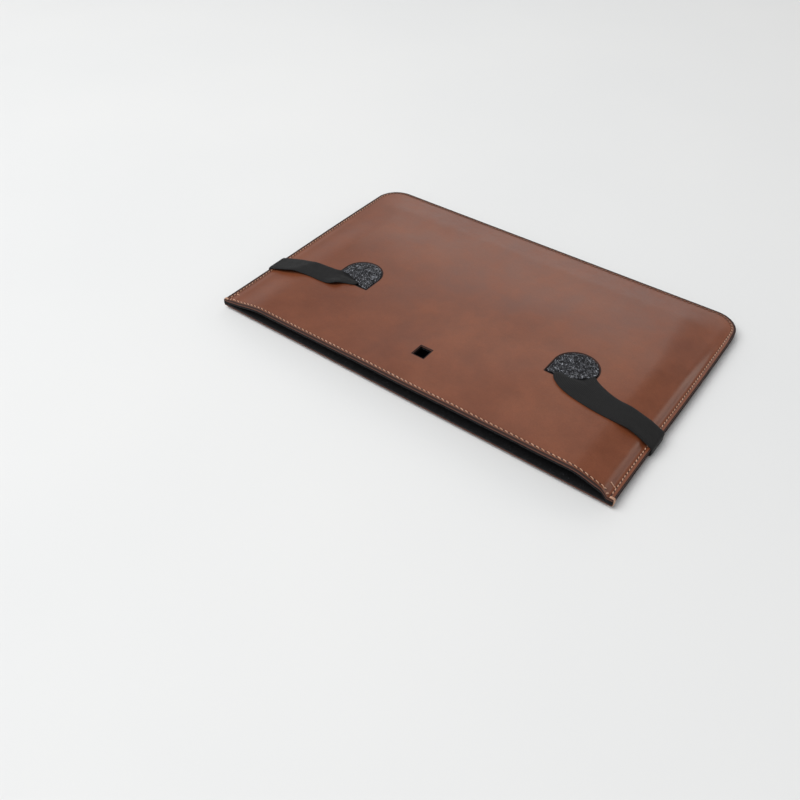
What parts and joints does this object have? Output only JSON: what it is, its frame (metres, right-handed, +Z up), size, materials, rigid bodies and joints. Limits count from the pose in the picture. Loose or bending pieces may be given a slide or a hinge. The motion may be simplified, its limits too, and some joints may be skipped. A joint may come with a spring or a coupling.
{
  "type": "laptop sleeve",
  "caption": "Slim leather laptop sleeve, felt lined and open along one long side, with elastic bands that stretch from its sides round its mouth corners.",
  "frame": {"origin": "middle of the flat foot of the back panel, which is the middle of the sleeve's outline, on the surface that it lies on", "axes": "+X along the open mouth, +Y from the mouth to the closed rear seam, +Z up out of the front panel"},
  "size_m": [0.366, 0.238, 0.0189],
  "materials": {
    "leather": "polished full-grain, dark burnished edges",
    "lining_felt": "charcoal wool felt",
    "patch_felt": "heathered charcoal wool felt",
    "elastic": "matte woven elastic",
    "thread": "waxed thread"
  },
  "bodies": {
    "sleeve": {"front_leather_panel": "leather", "back_leather_panel": "leather", "front_felt_lining": "lining_felt", "back_felt_lining": "lining_felt", "front_seam_thread": "thread", "back_seam_thread": "thread", "front_mouth_thread": "thread", "back_mouth_thread": "thread", "left_corner_tack": "thread", "right_corner_tack": "thread", "left_front_felt_patch": "patch_felt", "left_back_felt_patch": "patch_felt", "right_front_felt_patch": "patch_felt", "right_back_felt_patch": "patch_felt", "left_front_anchor_tack": "thread", "left_back_anchor_tack": "thread", "right_front_anchor_tack": "thread", "right_back_anchor_tack": "thread", "left_front_band_tail": "elastic", "left_back_band_tail": "elastic", "right_front_band_tail": "elastic", "right_back_band_tail": "elastic"},
    "left_band_runs": {"left_front_band_run": "elastic", "left_back_band_run": "elastic"},
    "left_loop": {"left_band_loop": "elastic"},
    "right_band_runs": {"right_front_band_run": "elastic", "right_back_band_run": "elastic"},
    "right_loop": {"right_band_loop": "elastic"}
  },
  "joints": [
    {"name": "left_band_swing", "type": "hinge", "parent": "sleeve", "child": "left_band_runs", "pos_m": [-0.116, -0.0404, 0.012], "axis": [0, 0, 1], "range_deg": [0, 45]},
    {"name": "left_band_stretch", "type": "slide", "parent": "left_band_runs", "child": "left_loop", "axis": [-1, 0, 0], "range_m": [0, 0.042], "stiffness_N_per_m": 20},
    {"name": "right_band_swing", "type": "hinge", "parent": "sleeve", "child": "right_band_runs", "pos_m": [0.116, -0.0404, 0.012], "axis": [0, 0, -1], "range_deg": [0, 45]},
    {"name": "right_band_stretch", "type": "slide", "parent": "right_band_runs", "child": "right_loop", "axis": [1, 0, 0], "range_m": [0, 0.042], "stiffness_N_per_m": 20}
  ],
  "couplings": [
    {"joint": "left_band_swing", "follows": "left_band_stretch", "rad_per_m": 18.69},
    {"joint": "right_band_swing", "follows": "right_band_stretch", "rad_per_m": 18.69}
  ]
}
